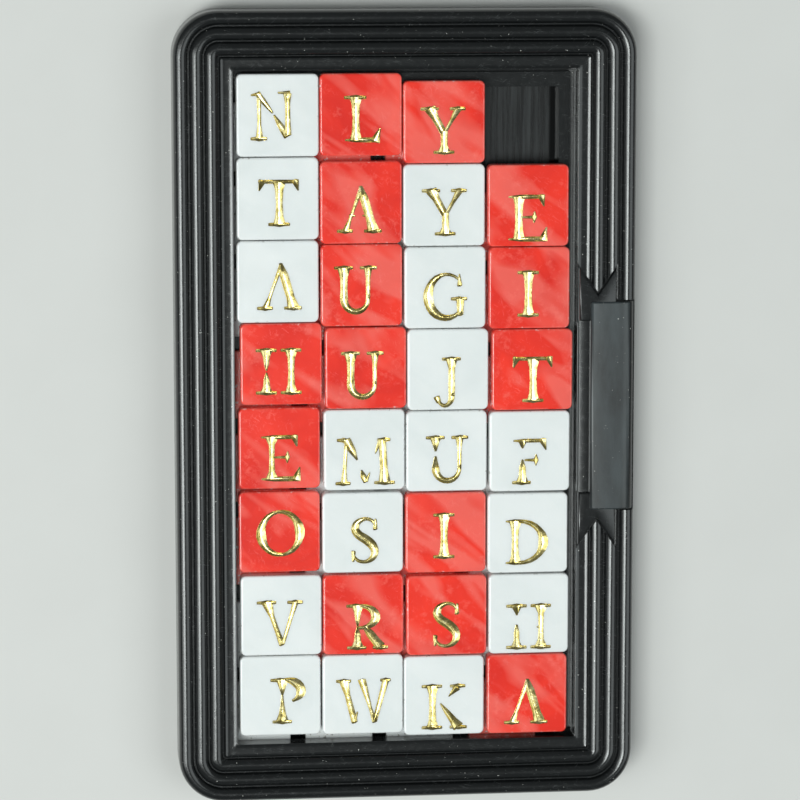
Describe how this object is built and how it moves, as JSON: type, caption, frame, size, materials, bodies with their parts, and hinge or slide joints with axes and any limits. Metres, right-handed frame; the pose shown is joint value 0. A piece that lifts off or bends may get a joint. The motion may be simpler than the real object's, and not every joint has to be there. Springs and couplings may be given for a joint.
{
  "type": "sliding tile puzzle",
  "caption": "Flat black tray with a reeded bezel and a blank ribbon plaque, holding interlocking red and white letter tiles that slide into one empty cell.",
  "frame": {"origin": "middle of the back face, which the puzzle lies on", "axes": "+Z out of the playing face, +Y towards the top row of letters, +X towards the right-hand column"},
  "size_m": [0.0698, 0.1206, 0.0077],
  "materials": {
    "bezel_black": "moulded black polystyrene, glossy, fine scratches and dust",
    "plate_black": "moulded black polystyrene, satin, rubbed by the tiles",
    "tile_white": "moulded white polystyrene, fine scratches",
    "tile_red": "moulded red polystyrene, fine scratches",
    "letter_gold": "gold hot foil in a sunk letter, partly worn away"
  },
  "bodies": {
    "frame": {"bezel": "bezel_black", "back_plate": "plate_black"},
    "tile_r1c1_n": {"tile_r1c1_n": "tile_white"},
    "tile_r1c2_l": {"tile_r1c2_l": "tile_red"},
    "tile_r1c3_y": {"tile_r1c3_y": "tile_red"},
    "tile_r2c1_t": {"tile_r2c1_t": "tile_white"},
    "tile_r2c2_a": {"tile_r2c2_a": "tile_red"},
    "tile_r2c3_y": {"tile_r2c3_y": "tile_white"},
    "tile_r2c4_e": {"tile_r2c4_e": "tile_red"},
    "tile_r3c1_a": {"tile_r3c1_a": "tile_white"},
    "tile_r3c2_u": {"tile_r3c2_u": "tile_red"},
    "tile_r3c3_g": {"tile_r3c3_g": "tile_white"},
    "tile_r3c4_i": {"tile_r3c4_i": "tile_red"},
    "tile_r4c1_h": {"tile_r4c1_h": "tile_red"},
    "tile_r4c2_u": {"tile_r4c2_u": "tile_red"},
    "tile_r4c3_j": {"tile_r4c3_j": "tile_white"},
    "tile_r4c4_t": {"tile_r4c4_t": "tile_red"},
    "tile_r5c1_e": {"tile_r5c1_e": "tile_red"},
    "tile_r5c2_m": {"tile_r5c2_m": "tile_white"},
    "tile_r5c3_u": {"tile_r5c3_u": "tile_white"},
    "tile_r5c4_f": {"tile_r5c4_f": "tile_white"},
    "tile_r6c1_o": {"tile_r6c1_o": "tile_red"},
    "tile_r6c2_s": {"tile_r6c2_s": "tile_white"},
    "tile_r6c3_i": {"tile_r6c3_i": "tile_red"},
    "tile_r6c4_d": {"tile_r6c4_d": "tile_white"},
    "tile_r7c1_v": {"tile_r7c1_v": "tile_white"},
    "tile_r7c2_r": {"tile_r7c2_r": "tile_red"},
    "tile_r7c3_s": {"tile_r7c3_s": "tile_red"},
    "tile_r7c4_h": {"tile_r7c4_h": "tile_white"},
    "tile_r8c1_p": {"tile_r8c1_p": "tile_white"},
    "tile_r8c2_w": {"tile_r8c2_w": "tile_white"},
    "tile_r8c3_k": {"tile_r8c3_k": "tile_white"},
    "tile_r8c4_a": {"tile_r8c4_a": "tile_red"}
  },
  "joints": [
    {"name": "tile_r1c3_y_slide", "type": "slide", "parent": "frame", "child": "tile_r1c3_y", "axis": [1, 0, 0], "range_m": [-0.0004, 0.014]},
    {"name": "tile_r1c2_l_slide", "type": "slide", "parent": "frame", "child": "tile_r1c2_l", "axis": [1, 0, 0], "range_m": [-0.0004, 0.014]},
    {"name": "tile_r1c1_n_slide", "type": "slide", "parent": "frame", "child": "tile_r1c1_n", "axis": [1, 0, 0], "range_m": [-0.0004, 0.014]},
    {"name": "tile_r2c4_e_slide", "type": "slide", "parent": "frame", "child": "tile_r2c4_e", "axis": [0, -1, 0], "range_m": [-0.014, 0.00015]},
    {"name": "tile_r3c4_i_slide", "type": "slide", "parent": "frame", "child": "tile_r3c4_i", "axis": [0, -1, 0], "range_m": [-0.014, 0.00015]},
    {"name": "tile_r4c4_t_slide", "type": "slide", "parent": "frame", "child": "tile_r4c4_t", "axis": [0, -1, 0], "range_m": [-0.014, 0.00015]},
    {"name": "tile_r5c4_f_slide", "type": "slide", "parent": "frame", "child": "tile_r5c4_f", "axis": [0, -1, 0], "range_m": [-0.014, 0.00015]},
    {"name": "tile_r6c4_d_slide", "type": "slide", "parent": "frame", "child": "tile_r6c4_d", "axis": [0, -1, 0], "range_m": [-0.014, 0.00015]},
    {"name": "tile_r7c4_h_slide", "type": "slide", "parent": "frame", "child": "tile_r7c4_h", "axis": [0, -1, 0], "range_m": [-0.014, 0.00015]},
    {"name": "tile_r8c4_a_slide", "type": "slide", "parent": "frame", "child": "tile_r8c4_a", "axis": [0, -1, 0], "range_m": [-0.014, 0.00015]},
    {"name": "tile_r2c1_t_slide", "type": "slide", "parent": "frame", "child": "tile_r2c1_t", "axis": [0, -1, 0], "range_m": [-0.0001, 0.0007]},
    {"name": "tile_r3c1_a_slide", "type": "slide", "parent": "frame", "child": "tile_r3c1_a", "axis": [0, -1, 0], "range_m": [-0.0001, 0.0007]},
    {"name": "tile_r4c1_h_slide", "type": "slide", "parent": "frame", "child": "tile_r4c1_h", "axis": [0, -1, 0], "range_m": [-0.0001, 0.0007]},
    {"name": "tile_r5c1_e_slide", "type": "slide", "parent": "frame", "child": "tile_r5c1_e", "axis": [0, -1, 0], "range_m": [-0.0001, 0.0007]},
    {"name": "tile_r6c1_o_slide", "type": "slide", "parent": "frame", "child": "tile_r6c1_o", "axis": [0, -1, 0], "range_m": [-0.0001, 0.0007]},
    {"name": "tile_r7c1_v_slide", "type": "slide", "parent": "frame", "child": "tile_r7c1_v", "axis": [0, -1, 0], "range_m": [-0.0001, 0.0007]},
    {"name": "tile_r8c1_p_slide", "type": "slide", "parent": "frame", "child": "tile_r8c1_p", "axis": [0, -1, 0], "range_m": [-0.0001, 0.0007]},
    {"name": "tile_r2c2_a_slide", "type": "slide", "parent": "frame", "child": "tile_r2c2_a", "axis": [0, -1, 0], "range_m": [-0.0003, 0.0003]},
    {"name": "tile_r3c2_u_slide", "type": "slide", "parent": "frame", "child": "tile_r3c2_u", "axis": [0, -1, 0], "range_m": [-0.0003, 0.0003]},
    {"name": "tile_r4c2_u_slide", "type": "slide", "parent": "frame", "child": "tile_r4c2_u", "axis": [0, -1, 0], "range_m": [-0.0003, 0.0003]},
    {"name": "tile_r5c2_m_slide", "type": "slide", "parent": "frame", "child": "tile_r5c2_m", "axis": [0, -1, 0], "range_m": [-0.0003, 0.0003]},
    {"name": "tile_r6c2_s_slide", "type": "slide", "parent": "frame", "child": "tile_r6c2_s", "axis": [0, -1, 0], "range_m": [-0.0003, 0.0003]},
    {"name": "tile_r7c2_r_slide", "type": "slide", "parent": "frame", "child": "tile_r7c2_r", "axis": [0, -1, 0], "range_m": [-0.0003, 0.0003]},
    {"name": "tile_r8c2_w_slide", "type": "slide", "parent": "frame", "child": "tile_r8c2_w", "axis": [0, -1, 0], "range_m": [-0.0003, 0.0003]},
    {"name": "tile_r2c3_y_slide", "type": "slide", "parent": "frame", "child": "tile_r2c3_y", "axis": [0, -1, 0], "range_m": [-0.0001, 0.0002]},
    {"name": "tile_r3c3_g_slide", "type": "slide", "parent": "frame", "child": "tile_r3c3_g", "axis": [0, -1, 0], "range_m": [-0.0001, 0.0002]},
    {"name": "tile_r4c3_j_slide", "type": "slide", "parent": "frame", "child": "tile_r4c3_j", "axis": [0, -1, 0], "range_m": [-0.0001, 0.0002]},
    {"name": "tile_r5c3_u_slide", "type": "slide", "parent": "frame", "child": "tile_r5c3_u", "axis": [0, -1, 0], "range_m": [-0.0001, 0.0002]},
    {"name": "tile_r6c3_i_slide", "type": "slide", "parent": "frame", "child": "tile_r6c3_i", "axis": [0, -1, 0], "range_m": [-0.0001, 0.0002]},
    {"name": "tile_r7c3_s_slide", "type": "slide", "parent": "frame", "child": "tile_r7c3_s", "axis": [0, -1, 0], "range_m": [-0.0001, 0.0002]},
    {"name": "tile_r8c3_k_slide", "type": "slide", "parent": "frame", "child": "tile_r8c3_k", "axis": [0, -1, 0], "range_m": [-0.0001, 0.0002]}
  ],
  "couplings": [
    {"joint": "tile_r1c2_l_slide", "follows": "tile_r1c3_y_slide", "ratio": 1},
    {"joint": "tile_r1c1_n_slide", "follows": "tile_r1c3_y_slide", "ratio": 1},
    {"joint": "tile_r3c4_i_slide", "follows": "tile_r2c4_e_slide", "ratio": 1},
    {"joint": "tile_r4c4_t_slide", "follows": "tile_r2c4_e_slide", "ratio": 1},
    {"joint": "tile_r5c4_f_slide", "follows": "tile_r2c4_e_slide", "ratio": 1},
    {"joint": "tile_r6c4_d_slide", "follows": "tile_r2c4_e_slide", "ratio": 1},
    {"joint": "tile_r7c4_h_slide", "follows": "tile_r2c4_e_slide", "ratio": 1},
    {"joint": "tile_r8c4_a_slide", "follows": "tile_r2c4_e_slide", "ratio": 1},
    {"joint": "tile_r3c1_a_slide", "follows": "tile_r2c1_t_slide", "ratio": 1},
    {"joint": "tile_r4c1_h_slide", "follows": "tile_r2c1_t_slide", "ratio": 1},
    {"joint": "tile_r5c1_e_slide", "follows": "tile_r2c1_t_slide", "ratio": 1},
    {"joint": "tile_r6c1_o_slide", "follows": "tile_r2c1_t_slide", "ratio": 1},
    {"joint": "tile_r7c1_v_slide", "follows": "tile_r2c1_t_slide", "ratio": 1},
    {"joint": "tile_r8c1_p_slide", "follows": "tile_r2c1_t_slide", "ratio": 1},
    {"joint": "tile_r3c2_u_slide", "follows": "tile_r2c2_a_slide", "ratio": 1},
    {"joint": "tile_r4c2_u_slide", "follows": "tile_r2c2_a_slide", "ratio": 1},
    {"joint": "tile_r5c2_m_slide", "follows": "tile_r2c2_a_slide", "ratio": 1},
    {"joint": "tile_r6c2_s_slide", "follows": "tile_r2c2_a_slide", "ratio": 1},
    {"joint": "tile_r7c2_r_slide", "follows": "tile_r2c2_a_slide", "ratio": 1},
    {"joint": "tile_r8c2_w_slide", "follows": "tile_r2c2_a_slide", "ratio": 1},
    {"joint": "tile_r3c3_g_slide", "follows": "tile_r2c3_y_slide", "ratio": 1},
    {"joint": "tile_r4c3_j_slide", "follows": "tile_r2c3_y_slide", "ratio": 1},
    {"joint": "tile_r5c3_u_slide", "follows": "tile_r2c3_y_slide", "ratio": 1},
    {"joint": "tile_r6c3_i_slide", "follows": "tile_r2c3_y_slide", "ratio": 1},
    {"joint": "tile_r7c3_s_slide", "follows": "tile_r2c3_y_slide", "ratio": 1},
    {"joint": "tile_r8c3_k_slide", "follows": "tile_r2c3_y_slide", "ratio": 1}
  ]
}
